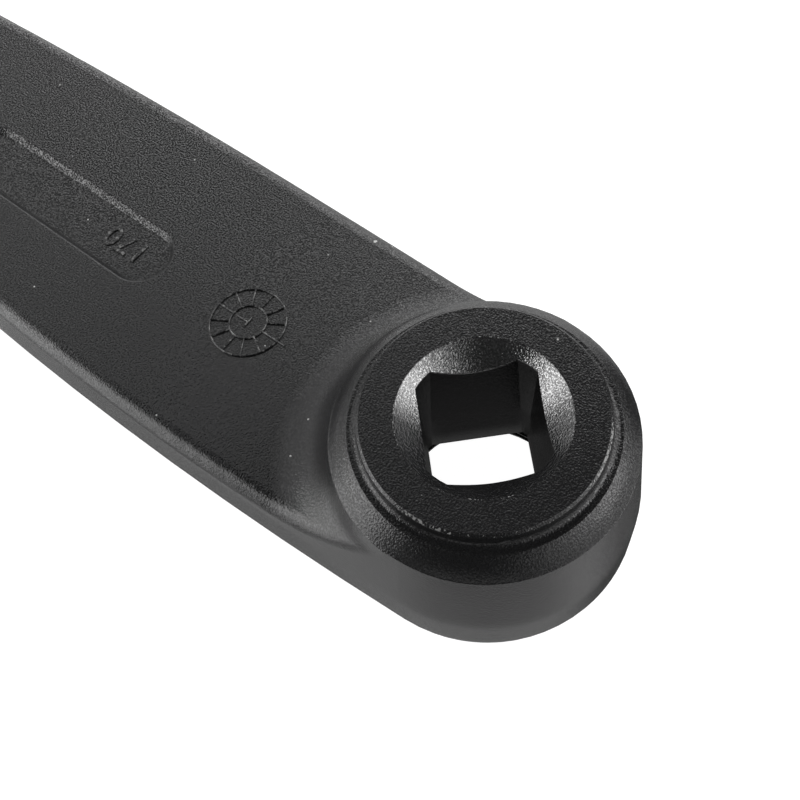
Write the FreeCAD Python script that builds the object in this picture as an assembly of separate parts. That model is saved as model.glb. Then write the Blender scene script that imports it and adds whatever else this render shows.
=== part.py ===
import FreeCAD, Part
import math
import os

# Left crank arm of a bicycle: one forged, painted piece with a square taper socket.
# Millimetres and degrees. The origin is on the socket's axis, in the plane of the outer
# face. +X runs along the arm to the pedal hole and +Z towards the frame, the inner side.

# Lengths and heights along the forging
crank_length = 170.0
arm_height = 12.6
parting_height = 4.3
extractor_depth = 7.6
socket_length = 19.4

# Square taper socket: its small end lies next to the extractor bore
square_width = 12.7
taper_per_side = 2.0
corner_radius = 8.6
mouth_radius = 9.92
mouth_angle = 42.6

# Boss, from the mouth of the socket outwards
land_width = 4.18
land_edge_bevel = 0.3
shelf_drop = 2.3
shelf_width = 1.26
shelf_hollow = 0.9
shoulder_round = 8.0
shoulder_start_angle = 55.0
shoulder_end_angle = 31.4
boss_draft_angle = 6.1
turned_margin = 0.12

# Concave flare from the arm's inner face up to the boss: a gentle rise, then a fillet
flare_reach = 50.0
flare_rise_radius = 400.0
flare_fillet = 8.8

# Outline of the forging in the parting plane
eye_wall = 9.4
left_bow_radius = 600.0
left_taper_angle = 2.6
right_bow_radius = 1150.0
right_taper_angle = 3.82
arm_draft_angle = 4.6

# Rounding of the arm's edges
inner_edge_round = 2.3
barrel_gap = 0.1
outer_edge_gap = 0.3

# Threaded holes, drilled to the inner diameter of their threads
extractor_radius = 10.5
extractor_chamfer = 1.1
pedal_hole_radius = 6.55
pedal_chamfer = 0.7
pedal_seat_width = 2.3
pedal_seat_depth = 0.3

# Shallow label pocket in the inner face
pocket_start = 52.7
pocket_length = 41.0
pocket_width = 9.3
pocket_offset = 1.75
pocket_depth = 0.8
pocket_wall_angle = 44.0
pocket_rim_round = 0.5

# How far a cutting or limiting body runs past the faces that it shapes
run_out = 4.0

UP = FreeCAD.Vector(0, 0, 1)
BOSS_CENTRE = FreeCAD.Vector(0, 0, 0)

# Sizes that follow from the ones above
arm_draft = math.tan(math.radians(arm_draft_angle))
boss_draft = math.tan(math.radians(boss_draft_angle))
wall_lean = math.cos(math.radians(boss_draft_angle))
boss_height = extractor_depth + socket_length
barrel_height = arm_height - inner_edge_round - barrel_gap
land_radius = mouth_radius + land_width
shelf_height = boss_height - shelf_drop
shelf_radius = land_radius + shelf_width
shoulder_start = math.radians(shoulder_start_angle)
shoulder_end = math.radians(shoulder_end_angle)
shoulder_centre_r = shelf_radius - shoulder_round * math.cos(shoulder_start)
shoulder_centre_z = shelf_height - shoulder_round * math.sin(shoulder_start)
rim_radius = shoulder_centre_r + shoulder_round * math.cos(shoulder_end)
rim_height = shoulder_centre_z + shoulder_round * math.sin(shoulder_end)
boss_radius = rim_radius + turned_margin / 2.0 + boss_draft * (rim_height - barrel_height)
eye_radius = pedal_hole_radius + eye_wall
blank_top = boss_height + run_out
turned_reach = crank_length + eye_radius + run_out


def point(x, y, z=0.0):
    return FreeCAD.Vector(x, y, z)


def segment(start, end):
    return Part.makeLine(start, end)


def bow(start, middle, end):
    return Part.Arc(start, middle, end).toShape()


def turned(edges):
    """Solid made by turning a closed profile in the XZ plane about the boss axis."""
    profile = Part.Face(Part.Wire(edges))
    return profile.revolve(BOSS_CENTRE, UP, 360.0)


def corner_arc(centre_r, centre_z, radius, start_angle, end_angle):
    """Arc in the XZ plane, its angles in degrees from +X towards +Z."""
    ends = []
    for angle in (start_angle, (start_angle + end_angle) / 2.0, end_angle):
        turn = math.radians(angle)
        ends.append(point(centre_r + radius * math.cos(turn), 0,
                          centre_z + radius * math.sin(turn)))
    return ends


def long_edge(bow_radius, taper_angle, boss, eye):
    """Points of a long edge: a gentle bow next to the boss, then straight to the eye.

    The bow touches the boss circle and the straight part touches the eye's circle.
    Returned are the bow's start, middle and end, and the point where the eye begins.
    """
    taper = math.radians(taper_angle)
    inward = bow_radius - eye - crank_length * math.sin(taper)
    along = math.sqrt((bow_radius - boss) ** 2 - inward ** 2)
    centre_x = along * math.cos(taper) - inward * math.sin(taper)
    centre_y = -along * math.sin(taper) - inward * math.cos(taper)
    start = math.atan2(-centre_x, -centre_y)
    ends = []
    for angle in (start, (start + taper) / 2.0, taper):
        ends.append((centre_x + bow_radius * math.sin(angle),
                     centre_y + bow_radius * math.cos(angle)))
    ends.append((crank_length + eye * math.sin(taper), eye * math.cos(taper)))
    return ends


def arm_outline(height):
    """Boss round, eye round and the two long edges at a height of the forging."""
    boss = wall_radius(max(height, barrel_height))
    inset = arm_draft * (max(height, parting_height) - parting_height)
    eye = eye_radius - inset
    left = [point(x, y, height) for x, y in
            long_edge(left_bow_radius, left_taper_angle, boss, eye)]
    right = [point(x, -y, height) for x, y in
             long_edge(right_bow_radius, right_taper_angle, boss, eye)]
    return Part.Wire([
        bow(left[0], left[1], left[2]),
        segment(left[2], left[3]),
        bow(left[3], point(crank_length + eye, 0, height), right[3]),
        segment(right[3], right[2]),
        bow(right[2], right[1], right[0]),
        bow(right[0], point(-boss, 0, height), left[0]),
    ])


def outer_half():
    """Forging below the parting plane, with its rounded outer edge."""
    blank = Part.Face(arm_outline(0.0)).extrude(UP * parting_height)
    rim = [edge for edge in blank.Edges if edge.BoundBox.ZMax < parting_height / 2.0]
    return blank.makeFillet(parting_height - outer_edge_gap, rim)


def inner_half():
    """Forging above the parting plane, run out above the boss."""
    heights = (parting_height, barrel_height, blank_top)
    low, middle, high = [arm_outline(height) for height in heights]
    return Part.makeLoft([low, middle], True, True).fuse(
        Part.makeLoft([middle, high], True, True))


def wall_radius(height):
    """Radius of the leaning boss wall at a height above its straight barrel."""
    return boss_radius - boss_draft * (height - barrel_height)


def flare_limit():
    """Arm's inner face and the concave flare that climbs from it to the boss wall."""
    rise_z = arm_height + flare_rise_radius
    to_fillet = flare_rise_radius - flare_fillet
    gap = wall_radius(rise_z) + turned_margin + flare_fillet / wall_lean - flare_reach
    lean = gap * boss_draft
    slope = boss_draft ** 2 + 1.0
    fall = (lean - math.sqrt(lean ** 2 - slope * (gap ** 2 - to_fillet ** 2))) / slope
    fillet_r = flare_reach + gap - boss_draft * fall
    fillet_z = rise_z + fall
    meeting = 180.0 + math.degrees(math.atan2(rise_z - fillet_z, flare_reach - fillet_r))
    foot, rise_middle, rise_end = corner_arc(flare_reach, rise_z, flare_rise_radius,
                                             270.0, meeting)
    rise_end, fillet_middle, top = corner_arc(fillet_r, fillet_z, flare_fillet,
                                              meeting, 180.0 + boss_draft_angle)
    floor = parting_height - run_out
    ceiling = blank_top - run_out / 2.0
    wall_end = point(wall_radius(ceiling) + turned_margin, 0, ceiling)
    return turned([
        segment(point(0, 0, floor), point(turned_reach, 0, floor)),
        segment(point(turned_reach, 0, floor), point(turned_reach, 0, arm_height)),
        segment(point(turned_reach, 0, arm_height), foot),
        bow(foot, rise_middle, rise_end),
        bow(rise_end, fillet_middle, top),
        segment(top, wall_end),
        segment(wall_end, point(0, 0, ceiling)),
        segment(point(0, 0, ceiling), point(0, 0, floor)),
    ])


def shoulder_limit():
    """Turned end of the boss: land, hollow step, narrow shelf and bulging shoulder."""
    hollow = min(shelf_hollow, shelf_drop / 2.0, shelf_width * 0.9)
    bevel = min(land_edge_bevel, shelf_drop / 4.0)
    bevel_top = point(land_radius - bevel, 0, boss_height)
    bevel_foot = point(land_radius, 0, boss_height - bevel)
    hollow_top, hollow_middle, hollow_foot = corner_arc(
        land_radius + hollow, shelf_height + hollow, hollow, 180.0, 270.0)
    shelf_end, bulge, rim = corner_arc(shoulder_centre_r, shoulder_centre_z, shoulder_round,
                                       shoulder_start_angle, shoulder_end_angle)
    overhang = max(wall_radius(rim.z) + 2.0 * turned_margin - rim.x, turned_margin)
    rim_foot = point(rim.x + overhang, 0, rim.z - overhang)
    floor = parting_height - run_out
    return turned([
        segment(point(0, 0, floor), point(turned_reach, 0, floor)),
        segment(point(turned_reach, 0, floor), point(turned_reach, 0, rim_foot.z)),
        segment(point(turned_reach, 0, rim_foot.z), rim_foot),
        segment(rim_foot, rim),
        bow(rim, bulge, shelf_end),
        segment(shelf_end, hollow_foot),
        bow(hollow_foot, hollow_middle, hollow_top),
        segment(hollow_top, bevel_foot),
        segment(bevel_foot, bevel_top),
        segment(bevel_top, point(0, 0, boss_height)),
        segment(point(0, 0, boss_height), point(0, 0, floor)),
    ])


def on_inner_face(edge):
    box = edge.BoundBox
    flat = abs(box.ZMin - arm_height) < 0.01 and abs(box.ZMax - arm_height) < 0.01
    return flat and box.XMax > crank_length / 2.0


def forging():
    arm = inner_half().common(flare_limit())
    edges = [edge for edge in arm.Edges if on_inner_face(edge)]
    arm = arm.makeFillet(inner_edge_round, edges)
    arm = arm.common(shoulder_limit())
    return arm.fuse(outer_half()).removeSplitter()


def square(half, height):
    """Square with its corners on the X and Y axes of the boss."""
    corner = half * math.sqrt(2.0)
    corners = [point(corner, 0, height), point(0, corner, height),
               point(-corner, 0, height), point(0, -corner, height)]
    return Part.makePolygon(corners + corners[:1])


def taper_socket():
    """Tapered square hole with rounded corners and a conical mouth."""
    slope = math.tan(math.radians(taper_per_side))
    low = extractor_depth - run_out
    small = square_width / 2.0 - slope * run_out
    large = square_width / 2.0 + slope * (blank_top - extractor_depth)
    hole = Part.makeLoft([square(small, low), square(large, blank_top)], True, True)
    corners = Part.makeCylinder(corner_radius, blank_top - low, point(0, 0, low))
    steepness = math.tan(math.radians(mouth_angle))
    mouth_depth = mouth_radius * steepness
    mouth = Part.makeCone(0.0, mouth_radius + run_out / steepness,
                          mouth_depth + run_out, point(0, 0, boss_height - mouth_depth))
    return hole.common(corners).fuse(mouth)


def bore(radius, low, high, x=0.0):
    return Part.makeCylinder(radius, high - low, point(x, 0, low))


def chamfer(radius, size, face_height, outwards, x=0.0):
    """Countersink of a bore; outwards is +1 or -1 along Z, away from the metal."""
    deep = face_height - outwards * size
    tip = face_height + outwards * size
    if outwards > 0:
        return Part.makeCone(radius, radius + 2.0 * size, tip - deep, point(x, 0, deep))
    return Part.makeCone(radius + 2.0 * size, radius, deep - tip, point(x, 0, tip))


def extractor_bore():
    mouth = chamfer(extractor_radius, extractor_chamfer, 0.0, -1)
    return bore(extractor_radius, -run_out, extractor_depth).fuse(mouth)


def pedal_hole():
    """Pedal hole with a shallow seat for the pedal's flange on the outer side."""
    through = bore(pedal_hole_radius, -run_out, arm_height + run_out, crank_length)
    seat = bore(pedal_hole_radius + pedal_seat_width, -run_out, pedal_seat_depth,
                crank_length)
    outer = chamfer(pedal_hole_radius, pedal_chamfer, pedal_seat_depth, -1, crank_length)
    inner = chamfer(pedal_hole_radius, pedal_chamfer, arm_height, 1, crank_length)
    return through.fuse([seat, outer, inner])


def slot_outline(radius, height):
    """Slot with full round ends; the end centres stay put when the radius changes."""
    first = pocket_start + pocket_width / 2.0
    last = pocket_start + pocket_length - pocket_width / 2.0
    y = pocket_offset
    return Part.Wire([
        segment(point(first, y - radius, height), point(last, y - radius, height)),
        bow(point(last, y - radius, height), point(last + radius, y, height),
            point(last, y + radius, height)),
        segment(point(last, y + radius, height), point(first, y + radius, height)),
        bow(point(first, y + radius, height), point(first - radius, y, height),
            point(first, y - radius, height)),
    ])


def label_pocket():
    """Body that cuts the pocket, with leaning walls."""
    lean = pocket_depth * math.tan(math.radians(pocket_wall_angle))
    floor = arm_height - pocket_depth
    low = slot_outline(pocket_width / 2.0 - lean, floor)
    high = slot_outline(pocket_width / 2.0 + lean, arm_height + pocket_depth)
    return Part.makeLoft([low, high], True, True)


def on_pocket_rim(edge):
    box = edge.BoundBox
    flat = abs(box.ZMin - arm_height) < 0.01 and abs(box.ZMax - arm_height) < 0.01
    margin = 0.1
    inside = box.XMin > pocket_start - margin
    return flat and inside and box.XMax < pocket_start + pocket_length + margin


def crank_arm():
    body = forging().cut(taper_socket())
    body = body.cut(extractor_bore())
    body = body.cut(pedal_hole())
    body = body.cut(label_pocket())
    rim = [edge for edge in body.Edges if on_pocket_rim(edge)]
    return body.makeFillet(min(pocket_rim_round, pocket_depth / 2.0), rim)


os.makedirs("parts", exist_ok=True)
arm = crank_arm()
print("crank arm: valid", arm.isValid(), "solids", len(arm.Solids),
      "volume", round(arm.Volume), "faces", len(arm.Faces))
arm.exportStep("parts/crank_arm.step")
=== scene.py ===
import math

import bmesh
import bpy
from mathutils import Matrix, Vector


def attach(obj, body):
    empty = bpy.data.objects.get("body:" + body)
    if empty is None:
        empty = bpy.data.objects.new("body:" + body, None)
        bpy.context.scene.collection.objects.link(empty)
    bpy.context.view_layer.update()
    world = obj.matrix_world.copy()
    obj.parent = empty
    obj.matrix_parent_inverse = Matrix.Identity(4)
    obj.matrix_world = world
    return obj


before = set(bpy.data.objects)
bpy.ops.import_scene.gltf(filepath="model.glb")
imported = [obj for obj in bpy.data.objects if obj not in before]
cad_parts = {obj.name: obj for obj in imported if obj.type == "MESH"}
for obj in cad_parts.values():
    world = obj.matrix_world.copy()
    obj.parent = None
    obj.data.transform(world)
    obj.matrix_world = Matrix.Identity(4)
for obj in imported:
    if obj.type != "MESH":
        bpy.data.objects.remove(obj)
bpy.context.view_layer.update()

MM = 0.001

# Camera, placed from the photograph's perspective
CAMERA_PLACE_MM = (-31.46, 41.57, 132.13)
VIEW_DIRECTION = (0.3372, -0.3177, -0.8862)
CAMERA_UP = (0.5202, -0.7217, 0.4567)
SENSOR_MM = 36.0
LENS_MM = 48.27
CLIP_START = 0.005
CLIP_END = 40.0

# Sizes of the CAD part that the small details sit on, in millimetres
ARM_HEIGHT = 12.6
BOSS_HEIGHT = 27.0
LAND_RADIUS = 14.1
FLARE_REACH = 50.0
RISE_RADIUS = 400.0
POCKET_START = 52.7
POCKET_OFFSET = 1.75
POCKET_DEPTH = 0.8
POCKET_WALL = 4.35
MOUTH_RADIUS = 9.92
CONE_SLOPE = math.tan(math.radians(42.6))
CONE_APEX = BOSS_HEIGHT - MOUTH_RADIUS * CONE_SLOPE
CRANK_LENGTH = 170.0
EXTRACTOR_RADIUS = 10.5
PEDAL_HOLE_RADIUS = 6.55

# Threads, in millimetres. Hand is 1 for a right-hand thread and -1 for a left-hand one
EXTRACTOR_SPAN = (1.3, 7.3)
EXTRACTOR_PITCH = 1.0
EXTRACTOR_DEPTH = 0.35
EXTRACTOR_HAND = 1
PEDAL_HOLE_SPAN = (1.2, 11.7)
PEDAL_PITCH = 1.27
PEDAL_DEPTH = 0.4
PEDAL_HAND = -1
THREAD_STEPS = 64
THREAD_SINK = 0.06
THREAD_LEAST = 0.01
THREAD_FADE_TURNS = 0.5
THREAD_HALF_FOOT = 0.47
THREAD_HALF_CREST = 0.06

# Date dial: a clock-like ring of raised lines on the inner face, in millimetres
DIAL_PLACE = (37.4, 1.5)
DIAL_OUTER = 5.2
DIAL_INNER = 2.55
DIAL_SPOKES = 12
DIAL_TAIL = 1.3
DIAL_STEPS = 72
POINTER_REACH = 1.9
POINTER_BAR = 0.8
LINE_WIDTH = 0.28
LINE_HEIGHT = 0.25
LINE_SINK = 0.05
LINE_PROFILE = ((-0.5, 0.0), (-0.34, 0.72), (0.0, 1.0), (0.34, 0.72), (0.5, 0.0))

# Raised number on the pocket's floor, in millimetres. The place is from the pocket's start
# and from its middle
NUMBER_SIZE = 4.6
NUMBER_SPACING = 1.12
NUMBER_PLACE = (4.2, -1.6)
NUMBER_LIFT = 0.03
NUMBER_HALF_HEIGHT = 0.11
NUMBER_BEVEL = 0.05

# Grain of the paint. Scales are per metre, and lengths in millimetres. Each ramp is the
# stretch of X, Y or Z that it covers and the grain's share at its two ends
GRAIN_SCALE = 4600.0
GRAIN_DETAIL = 1.0
GRAIN_DEPTH = 0.1
GRAIN_RAMP_X = (35.0, 70.0, 0.45, 1.0)
GRAIN_RAMP_Y = (-8.0, 7.0, 1.0, 0.4)
GRAIN_RAMP_Z = (15.0, 21.0, 0.0, 0.3)
BUMP_LEAST = 0.4
NOISE_ROUGHNESS = 0.55
WALL_TO_FACE = (0.15, 0.5)
WALL_SPARKLE = 0.1
FACE_SPARKLE = 1.9
LINE_SPARKLE = 0.25
PEAK_RANGE = (0.42, 0.78)
PEAK_MEAN = 0.26
SPECULAR_MEAN = 0.5
SPECULAR_LEAST = 0.05

# Softened crease round the boss, in millimetres
CREASE_HEIGHT = 10.2
CREASE_SOFTNESS = 4.0
CREASE_REACH = 3.0
CREASE_RAMP_X = (6.0, 14.0, 1.0, 0.0)
CREASE_SAMPLES = 8

# Painted shade on the pocket's near wall, in millimetres, and how dark it is
SHADE_HALF_WIDTH = 0.5
SHADE_DROP = 0.42
SHADE_HALF_HEIGHT = 0.26
SHADE_STRENGTH = 0.85

# Wear of the paint, which on the mouth's lip also stands as a painted highlight, in millimetres,
# with scales per metre and shares of bare metal
WEAR_DROPS = (0.6, 0.4)
RIM_INSET = 0.14
RIM_HALF_WIDTH = 0.11
LIP_HIGHLIGHT_HALF_WIDTH = 0.04
GROUP_SCALE = 110.0
GROUP_RANGE = (0.48, 0.62)
GROUP_LIFT = 0.16
FLAKE_SCALE = 3000.0
FLAKE_DETAIL = 2.0
FLAKE_RANGE = (0.66, 0.72)
FLAKE_BARE = 0.45
CHIP_PLACE = (31.7, -18.4, 12.75)
CHIP_RADIUS = 0.42
CHIP_FRINGE = 1.1
CHIP_SCALE = 2500.0
SPECK_SCALE = 330.0
SPECK_RANGE = (0.03, 0.05)
SPECK_CHOSEN = 0.5
CREST_SCALE = 1500.0
CREST_DETAIL = 3.0
CREST_RANGE = (0.52, 0.62)
CREST_BARE = 0.3

# Painted highlight on the far side of the turned cone and painted shade in the socket behind it,
# in millimetres and steps of the index of refraction
PAINT_INDEX = 1.5
CONE_EDGE = 0.1
CONE_FADE = 0.3
CONE_TURN = 0.4
CONE_HIGHLIGHT_REACH = 3.0
CONE_PAINTED_HIGHLIGHT = 1.0
SOCKET_PAINTED_SHADE = 0.38

# Colours and gloss
PAINT_COLOUR = (0.0115, 0.0115, 0.012, 1)
# Painted shade: the socket's darker colour
SOCKET_SHADE_COLOUR = (0.003, 0.003, 0.003, 1)
# Pale bare metal, also the colour of the painted highlight on the mouth's lip
METAL_AND_HIGHLIGHT_COLOUR = (0.62, 0.62, 0.61, 1)
GLOSS_SCALE = 90.0
GLOSS_DETAIL = 4.0
GLOSS_RANGE = (0.3, 0.7)
ROUGHNESS = (0.16, 0.23)
CONE_SMOOTHER = 0.04
METAL_ROUGHNESS = 0.45

# Studio: soft panels around the part. Azimuth from +X towards +Y, elevation, width and
# height in degrees as seen from the part, and radiance. The panels below the horizon
# stand for the lit table.
PANEL_DISTANCE = 1.7
PANELS = (
    ("left_box", 46.0, 17.0, 36.0, 36.0, 3.5),
    ("left_spill", 74.0, 8.0, 24.0, 22.0, 0.4),
    ("back_wall", 1.0, 22.0, 58.0, 44.0, 0.8),
    ("back_top", -25.0, 54.0, 80.0, 18.0, 0.8),
    ("back_band", -46.0, 36.0, 32.0, 14.0, 2.1),
    ("back_right_box", -46.0, 13.0, 32.0, 26.0, 1.7),
    ("side_box", -91.0, 27.0, 58.0, 38.0, 2.15),
    ("right_box", -150.0, 22.0, 56.0, 44.0, 1.8),
    ("right_core", -150.0, 20.0, 24.0, 18.0, 2.6),
    ("near_right_box", 166.0, 18.0, 28.0, 36.0, 0.8),
    ("table_left", 47.0, -14.0, 36.0, 28.0, 2.1),
    ("table_back", -5.0, -12.0, 56.0, 24.0, 1.1),
    ("table_back_right", -60.0, -12.0, 54.0, 24.0, 1.0),
    ("table_right", -160.0, -12.0, 70.0, 24.0, 0.8),
    ("table_near", 122.0, -12.0, 60.0, 24.0, 0.5),
    ("table_low_left", 45.0, -42.0, 60.0, 34.0, 0.34),
    ("table_low_back", -40.0, -42.0, 80.0, 34.0, 0.35),
    ("table_low_right", -150.0, -42.0, 60.0, 34.0, 0.6),
    ("table_below", 120.0, -70.0, 80.0, 44.0, 0.36),
)
WORLD_RADIANCE = 0.06

# Floor with a round backdrop, in metres
FLOOR_REACH = 7.0
FLOOR_STEPS = 48
FLOOR_COLOUR = (0.25, 0.25, 0.25, 1)
FLOOR_ROUGHNESS = 0.9
FLOOR_EMISSION = 1.0
WHITE = (1, 1, 1, 1)


def link(item):
    bpy.context.scene.collection.objects.link(item)
    return item


def direction(azimuth, elevation):
    turn = math.radians(azimuth)
    rise = math.radians(elevation)
    flat = math.cos(rise)
    return Vector((flat * math.cos(turn), flat * math.sin(turn), math.sin(rise)))


def make_camera():
    data = bpy.data.cameras.new("camera")
    data.sensor_width = SENSOR_MM
    data.lens = LENS_MM
    data.clip_start = CLIP_START
    data.clip_end = CLIP_END
    camera = link(bpy.data.objects.new("camera", data))
    back = -Vector(VIEW_DIRECTION).normalized()
    right = Vector(CAMERA_UP).cross(back).normalized()
    up = back.cross(right)
    turn = Matrix((right, up, back)).transposed()
    camera.matrix_world = Matrix.Translation(Vector(CAMERA_PLACE_MM) * MM) @ turn.to_4x4()
    bpy.context.scene.camera = camera


def make_floor():
    """White table with a round white backdrop far behind it."""
    turns = [2.0 * math.pi * k / FLOOR_STEPS for k in range(FLOOR_STEPS)]
    ring = [(FLOOR_REACH * math.cos(turn), FLOOR_REACH * math.sin(turn)) for turn in turns]
    corners = [(x, y, 0.0) for x, y in ring] + [(x, y, FLOOR_REACH) for x, y in ring]
    faces = [tuple(range(FLOOR_STEPS))]
    for k in range(FLOOR_STEPS):
        n = (k + 1) % FLOOR_STEPS
        faces.append((k, n, FLOOR_STEPS + n, FLOOR_STEPS + k))
    mesh = bpy.data.meshes.new("floor")
    mesh.from_pydata(corners, [], faces)
    floor = link(bpy.data.objects.new("floor", mesh))
    material = bpy.data.materials.new("pale_floor")
    material.use_nodes = True
    shader = material.node_tree.nodes["Principled BSDF"]
    shader.inputs["Base Color"].default_value = FLOOR_COLOUR
    shader.inputs["Roughness"].default_value = FLOOR_ROUGHNESS
    shader.inputs["Emission Color"].default_value = WHITE
    shader.inputs["Emission Strength"].default_value = FLOOR_EMISSION
    mesh.materials.append(material)
    # The black paint would otherwise mirror a floor that is far too bright for it
    floor.visible_glossy = False
    floor.visible_diffuse = False
    floor.visible_shadow = False


def make_panel(name, azimuth, elevation, width, height, radiance):
    lamp = bpy.data.lights.new(name, "AREA")
    lamp.shape = "RECTANGLE"
    lamp.size = 2.0 * PANEL_DISTANCE * math.tan(math.radians(width / 2.0))
    lamp.size_y = 2.0 * PANEL_DISTANCE * math.tan(math.radians(height / 2.0))
    lamp.energy = math.pi * lamp.size * lamp.size_y * radiance
    panel = link(bpy.data.objects.new(name, lamp))
    away = direction(azimuth, elevation)
    panel.location = away * PANEL_DISTANCE
    panel.rotation_euler = away.to_track_quat("Z", "Y").to_euler()


def make_world():
    world = bpy.data.worlds.new("studio")
    bpy.context.scene.world = world
    world.use_nodes = True
    background = world.node_tree.nodes["Background"]
    background.inputs["Color"].default_value = WHITE
    background.inputs["Strength"].default_value = WORLD_RADIANCE


def add(tree, kind, **inputs):
    """New node, with numbers on the sockets named."""
    node = tree.nodes.new(kind)
    for name, value in inputs.items():
        node.inputs[name.replace("_", " ")].default_value = value
    return node


def compute(tree, operation, first, second):
    """Result of a Math node on two numbers or sockets."""
    node = tree.nodes.new("ShaderNodeMath")
    node.operation = operation
    for socket, value in zip(node.inputs, (first, second)):
        if isinstance(value, float):
            socket.default_value = value
        else:
            tree.links.new(value, socket)
    return node.outputs["Value"]


def times(tree, first, second):
    return compute(tree, "MULTIPLY", first, second)


def most(tree, first, second):
    return compute(tree, "MAXIMUM", first, second)


def remap(tree, value, span, first, last):
    """Value over the span to first..last, held beyond both ends."""
    node = add(tree, "ShaderNodeMapRange", From_Min=span[0], From_Max=span[1], To_Min=first,
               To_Max=last)
    tree.links.new(value, node.inputs["Value"])
    return node.outputs["Result"]


def ramp(tree, value, stretch):
    """Share of a ramp given as start and stop in millimetres and its two ends."""
    start, stop, first, last = stretch
    return remap(tree, value, (start * MM, stop * MM), first, last)


def near(tree, value, centre, half):
    """One within half of the centre, falling to nothing beyond it, in millimetres."""
    away = compute(tree, "SUBTRACT", value, centre * MM)
    gap = compute(tree, "ABSOLUTE", away, 0.0)
    return ramp(tree, gap, (half, half * 1.5, 1.0, 0.0))


def mix(tree, kind, factor, first, second):
    """Result of a Mix node between two values or sockets."""
    node = tree.nodes.new("ShaderNodeMix")
    node.data_type = kind
    tree.links.new(factor, node.inputs["Factor"])
    for name, value in (("A", first), ("B", second)):
        if isinstance(value, tuple):
            node.inputs[name].default_value = value
        else:
            tree.links.new(value, node.inputs[name])
    return node.outputs["Result"]


def noise(tree, place, scale, detail):
    node = add(tree, "ShaderNodeTexNoise", Scale=scale, Detail=detail,
               Roughness=NOISE_ROUGHNESS)
    tree.links.new(place, node.inputs["Vector"])
    return node.outputs["Fac"]


def axis_distance(tree, place):
    """Distance from the boss's axis."""
    flat = tree.nodes.new("ShaderNodeVectorMath")
    flat.operation = "MULTIPLY"
    flat.inputs[1].default_value = (1, 1, 0)
    tree.links.new(place, flat.inputs[0])
    reach = tree.nodes.new("ShaderNodeVectorMath")
    reach.operation = "LENGTH"
    tree.links.new(flat.outputs["Vector"], reach.inputs[0])
    return reach.outputs["Value"]


def soft_normal(tree, x, z):
    """Normal with the crease round the boss, where its draft begins, ground soft."""
    soft = add(tree, "ShaderNodeBevel", Radius=CREASE_SOFTNESS * MM)
    soft.samples = CREASE_SAMPLES
    sharp = tree.nodes.new("ShaderNodeNewGeometry")
    beside = near(tree, z, CREASE_HEIGHT, CREASE_REACH)
    factor = times(tree, beside, ramp(tree, x, CREASE_RAMP_X))
    return mix(tree, "VECTOR", factor, sharp.outputs["Normal"], soft.outputs["Normal"])


def face_share(tree):
    """Nothing on the drafted walls and one on the faces."""
    facing = tree.nodes.new("ShaderNodeSeparateXYZ")
    sharp = tree.nodes.new("ShaderNodeNewGeometry")
    tree.links.new(sharp.outputs["Normal"], facing.inputs["Vector"])
    return remap(tree, facing.outputs["Z"], WALL_TO_FACE, 0.0, 1.0)


def grain_share(tree, x, y, z):
    """Strength of the grain: coarse on the far side of the arm, finer near and on the boss."""
    share = times(tree, ramp(tree, x, GRAIN_RAMP_X), ramp(tree, y, GRAIN_RAMP_Y))
    return most(tree, share, ramp(tree, z, GRAIN_RAMP_Z))


def pocket_painted_shade(tree, x, y, z):
    """Painted shade: the near wall of the pocket made darker."""
    beside = near(tree, y, POCKET_OFFSET + POCKET_WALL, SHADE_HALF_WIDTH)
    outward = compute(tree, "GREATER_THAN", x, POCKET_START * MM)
    sunk = near(tree, z, ARM_HEIGHT - SHADE_DROP, SHADE_HALF_HEIGHT)
    return times(tree, times(tree, beside, outward), sunk)


def wear_and_lip_highlight(tree, place, z, radius):
    """Paint rubbed and flaked off along the edges of the land; on the mouth's lip the pale flakes
    are also a painted highlight.
    """
    start, stop = WEAR_DROPS
    high = ramp(tree, z, (BOSS_HEIGHT - start, BOSS_HEIGHT - stop, 0.0, 1.0))
    rim = near(tree, radius, LAND_RADIUS - RIM_INSET, RIM_HALF_WIDTH)
    lip_highlight = near(tree, radius, MOUTH_RADIUS, LIP_HIGHLIGHT_HALF_WIDTH)
    groups = remap(tree, noise(tree, place, GROUP_SCALE, FLAKE_DETAIL), GROUP_RANGE, 0.0,
                   GROUP_LIFT)
    flakes = compute(tree, "ADD", noise(tree, place, FLAKE_SCALE, FLAKE_DETAIL), groups)
    bare_and_lip_highlight = remap(tree, flakes, FLAKE_RANGE, 0.0, FLAKE_BARE)
    return times(tree, times(tree, most(tree, rim, lip_highlight), high), bare_and_lip_highlight)


def edge_chip(tree, place):
    """One larger chip on the far edge of the arm."""
    offset = tree.nodes.new("ShaderNodeVectorMath")
    offset.operation = "DISTANCE"
    offset.inputs[1].default_value = [v * MM for v in CHIP_PLACE]
    tree.links.new(place, offset.inputs[0])
    ragged = times(tree, noise(tree, place, CHIP_SCALE, FLAKE_DETAIL), CHIP_RADIUS * MM)
    gap = compute(tree, "ADD", offset.outputs["Value"], ragged)
    return ramp(tree, gap, (CHIP_RADIUS, CHIP_FRINGE * CHIP_RADIUS, 1.0, 0.0))


def specks(tree, place, upward):
    """Scattered pin points of dust and bare metal."""
    dots = add(tree, "ShaderNodeTexVoronoi", Scale=SPECK_SCALE)
    tree.links.new(place, dots.inputs["Vector"])
    chance = tree.nodes.new("ShaderNodeSeparateColor")
    tree.links.new(dots.outputs["Color"], chance.inputs["Color"])
    close = remap(tree, dots.outputs["Distance"], SPECK_RANGE, 1.0, 0.0)
    chosen = compute(tree, "GREATER_THAN", chance.outputs["Red"], SPECK_CHOSEN)
    return times(tree, times(tree, close, chosen), upward)


def rubbed_crests(tree, place, upward, rubbed):
    """Raised lines rubbed bright here and there along their crests."""
    patches = remap(tree, noise(tree, place, CREST_SCALE, CREST_DETAIL), CREST_RANGE, 0.0,
                    rubbed)
    return times(tree, patches, upward)


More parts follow.
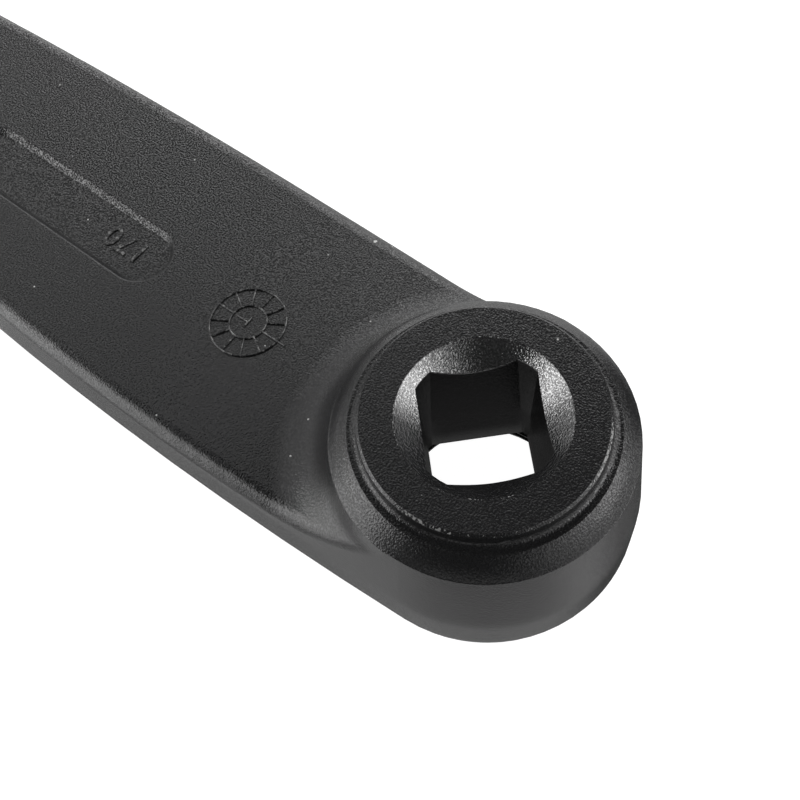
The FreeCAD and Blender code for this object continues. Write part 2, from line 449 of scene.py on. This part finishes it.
def refraction(tree, x, y, inside, socket_shade):
    """Index of refraction: raised on the cone's far side for a painted highlight, lowered in the
    socket for painted shade.
    """
    across = compute(tree, "SUBTRACT", y, times(tree, x, CONE_TURN))
    painted_highlight = ramp(tree, across, (0.0, CONE_HIGHLIGHT_REACH, CONE_PAINTED_HIGHLIGHT, 0.0))
    change = compute(tree, "SUBTRACT", painted_highlight, times(tree, socket_shade, CONE_PAINTED_HIGHLIGHT + SOCKET_PAINTED_SHADE))
    change = most(tree, change, -SOCKET_PAINTED_SHADE)
    return compute(tree, "ADD", PAINT_INDEX, times(tree, inside, change))


def paint(name, sparkle, rubbed):
    """Black powder paint with grain, wear, dust and an uneven gloss."""
    material = bpy.data.materials.new(name)
    material.use_nodes = True
    tree = material.node_tree
    links = tree.links
    shader = tree.nodes["Principled BSDF"]
    place = tree.nodes.new("ShaderNodeTexCoord").outputs["Object"]
    parts = tree.nodes.new("ShaderNodeSeparateXYZ")
    links.new(place, parts.inputs["Vector"])
    x, y, z = parts.outputs
    radius = axis_distance(tree, place)
    upward = face_share(tree)

    # Fine orange peel, with more sparkle on the faces than on the drafted walls
    grain = noise(tree, place, GRAIN_SCALE, GRAIN_DETAIL)
    share = grain_share(tree, x, y, z)
    bump = add(tree, "ShaderNodeBump", Distance=GRAIN_DEPTH * MM)
    links.new(grain, bump.inputs["Height"])
    links.new(soft_normal(tree, x, z), bump.inputs["Normal"])
    strength = compute(tree, "ADD", times(tree, share, 1.0 - BUMP_LEAST), BUMP_LEAST)
    links.new(strength, bump.inputs["Strength"])
    links.new(bump.outputs["Normal"], shader.inputs["Normal"])
    sparkles = remap(tree, upward, (0.0, 1.0), WALL_SPARKLE * sparkle, sparkle)
    peaks = compute(tree, "SUBTRACT", remap(tree, grain, PEAK_RANGE, 0.0, 1.0), PEAK_MEAN)
    peaks = times(tree, peaks, times(tree, sparkles, share))
    level = most(tree, compute(tree, "ADD", peaks, SPECULAR_MEAN), SPECULAR_LEAST)
    # Painted shade: less shine on the pocket's near wall
    pocket_shade = times(tree, pocket_painted_shade(tree, x, y, z), SHADE_STRENGTH)
    unshaded = compute(tree, "SUBTRACT", 1.0, pocket_shade)
    links.new(times(tree, level, unshaded), shader.inputs["Specular IOR Level"])

    # Bare metal, which on the mouth's lip is also a painted highlight
    bare_and_lip_highlight = most(tree, wear_and_lip_highlight(tree, place, z, radius), edge_chip(tree, place))
    bare_and_lip_highlight = most(tree, bare_and_lip_highlight, specks(tree, place, upward))
    bare_and_lip_highlight = most(tree, bare_and_lip_highlight, rubbed_crests(tree, place, upward, rubbed))

    # The mouth's cone with its painted highlight, and the socket behind it with its painted shade
    inside = ramp(tree, radius, (MOUTH_RADIUS - CONE_EDGE, MOUTH_RADIUS, 1.0, 0.0))
    over_cone = compute(tree, "SUBTRACT", z, times(tree, radius, CONE_SLOPE))
    socket_shade = ramp(tree, over_cone, (CONE_APEX, CONE_APEX - CONE_FADE, 0.0, 1.0))
    links.new(refraction(tree, x, y, inside, socket_shade), shader.inputs["IOR"])

    # Black paint, darkened in the socket as painted shade, and pale metal where it is worn, which
    # on the mouth's lip is also a painted highlight
    body = mix(tree, "RGBA", times(tree, inside, socket_shade), PAINT_COLOUR, SOCKET_SHADE_COLOUR)
    colour = mix(tree, "RGBA", bare_and_lip_highlight, body, METAL_AND_HIGHLIGHT_COLOUR)
    links.new(colour, shader.inputs["Base Color"])

    # Uneven gloss
    gloss = remap(tree, noise(tree, place, GLOSS_SCALE, GLOSS_DETAIL), GLOSS_RANGE, *ROUGHNESS)
    gloss = compute(tree, "SUBTRACT", gloss, times(tree, inside, CONE_SMOOTHER))
    rough = most(tree, gloss, times(tree, bare_and_lip_highlight, METAL_ROUGHNESS))
    links.new(rough, shader.inputs["Roughness"])
    return material


def mesh_piece(name, mesh, material):
    piece = link(bpy.data.objects.new(name, mesh))
    mesh.materials.append(material)
    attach(piece, "root")


def face_height(x, y):
    """Height of the inner face, which rises gently towards the boss."""
    inward = max(FLARE_REACH - math.hypot(x, y), 0.0)
    return ARM_HEIGHT + RISE_RADIUS - math.sqrt(RISE_RADIUS ** 2 - inward ** 2)


def join_rings(mesh, one, two):
    """Wall of faces between two rings with as many points."""
    count = len(one)
    for k in range(count):
        n = (k + 1) % count
        mesh.faces.new((one[k], two[k], two[n], one[n]))


def cap_ends(mesh, rings):
    mesh.faces.new(rings[0])
    mesh.faces.new(list(reversed(rings[-1])))


def finish_mesh(name, mesh, material):
    bmesh.ops.recalc_face_normals(mesh, faces=mesh.faces)
    data = bpy.data.meshes.new(name)
    mesh.to_mesh(data)
    mesh.free()
    mesh_piece(name, data, material)


def add_line(mesh, points, closed=False):
    """Low rounded line along points of the inner face."""
    rings = []
    count = len(points)
    for index, (x, y) in enumerate(points):
        before = points[(index - 1) % count] if closed or index else (x, y)
        after = points[(index + 1) % count] if closed or index + 1 < count else (x, y)
        run = Vector((after[0] - before[0], after[1] - before[1])).normalized()
        ring = []
        for across, rise in LINE_PROFILE:
            px = x - run.y * across * LINE_WIDTH
            py = y + run.x * across * LINE_WIDTH
            foot = -LINE_SINK + rise * (LINE_HEIGHT + LINE_SINK)
            ring.append(mesh.verts.new((px * MM, py * MM, (face_height(px, py) + foot) * MM)))
        rings.append(ring)
    for one, two in zip(rings, rings[1:]):
        join_rings(mesh, one, two)
    if closed:
        join_rings(mesh, rings[-1], rings[0])
    else:
        cap_ends(mesh, rings)


def dial_point(radius, angle):
    turn = math.radians(angle)
    return (DIAL_PLACE[0] + radius * math.cos(turn), DIAL_PLACE[1] + radius * math.sin(turn))


def make_dial(material):
    mesh = bmesh.new()
    for radius in (DIAL_OUTER, DIAL_INNER):
        ring = [dial_point(radius, 360.0 * k / DIAL_STEPS) for k in range(DIAL_STEPS)]
        add_line(mesh, ring, closed=True)
    for k in range(DIAL_SPOKES):
        angle = 360.0 * k / DIAL_SPOKES
        reach = DIAL_OUTER + (DIAL_TAIL if k == DIAL_SPOKES // 2 else 0.0)
        add_line(mesh, [dial_point(DIAL_INNER, angle), dial_point(reach, angle)])
    # Pointer: a short shaft with a cross bar
    add_line(mesh, [dial_point(POINTER_REACH, 0.0), dial_point(0.0, 0.0)])
    add_line(mesh, [dial_point(POINTER_BAR, 90.0), dial_point(POINTER_BAR, 270.0)])
    finish_mesh("date_dial", mesh, material)


def make_number(material):
    """The arm's length in millimetres, raised on the pocket's floor."""
    letters = bpy.data.curves.new("letters", "FONT")
    letters.body = "170"
    letters.size = NUMBER_SIZE * MM
    letters.space_character = NUMBER_SPACING
    letters.extrude = NUMBER_HALF_HEIGHT * MM
    letters.bevel_depth = NUMBER_BEVEL * MM
    text = link(bpy.data.objects.new("letters", letters))
    data = bpy.data.meshes.new_from_object(text)
    data.name = "length_number"
    bpy.data.objects.remove(text)
    data.materials.clear()
    x, y = NUMBER_PLACE
    place = Vector((POCKET_START + x, POCKET_OFFSET + y, ARM_HEIGHT - POCKET_DEPTH + NUMBER_LIFT))
    data.transform(Matrix.Translation(place * MM))
    mesh_piece("length_number", data, material)


def make_thread(name, centre_x, radius, span, pitch, depth, hand, material):
    """Helical ridge of a thread inside a bore."""
    bottom, top = span
    turns = (top - bottom) / pitch
    count = int(turns * THREAD_STEPS)
    fade_steps = THREAD_STEPS * THREAD_FADE_TURNS
    mesh = bmesh.new()
    rings = []
    for k in range(count + 1):
        turn = 2.0 * math.pi * k / THREAD_STEPS
        z = bottom + (top - bottom) * k / count
        fade = min(1.0, k / fade_steps, (count - k) / fade_steps)
        crest = radius - max(depth * fade, THREAD_LEAST)
        profile = ((radius + THREAD_SINK, -THREAD_HALF_FOOT), (crest, -THREAD_HALF_CREST),
                   (crest, THREAD_HALF_CREST), (radius + THREAD_SINK, THREAD_HALF_FOOT))
        ring = []
        for r, share in profile:
            height = z + share * pitch
            ring.append(mesh.verts.new(((centre_x + r * math.cos(turn)) * MM,
                                        hand * r * math.sin(turn) * MM, height * MM)))
        rings.append(ring)
    for one, two in zip(rings, rings[1:]):
        join_rings(mesh, one, two)
    cap_ends(mesh, rings)
    finish_mesh(name, mesh, material)


make_camera()
make_floor()
make_world()
for panel in PANELS:
    make_panel(*panel)

black = paint("black_paint", FACE_SPARKLE, 0.0)
lines = paint("black_paint_lines", LINE_SPARKLE, CREST_BARE)
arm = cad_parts["crank_arm"]
arm.data.materials.clear()
arm.data.materials.append(black)
make_dial(lines)
make_number(lines)
make_thread("extractor_thread_ridge", 0.0, EXTRACTOR_RADIUS, EXTRACTOR_SPAN, EXTRACTOR_PITCH,
            EXTRACTOR_DEPTH, EXTRACTOR_HAND, black)
make_thread("pedal_thread_ridge", CRANK_LENGTH, PEDAL_HOLE_RADIUS, PEDAL_HOLE_SPAN, PEDAL_PITCH,
            PEDAL_DEPTH, PEDAL_HAND, black)

bpy.context.scene.view_settings.view_transform = "Standard"
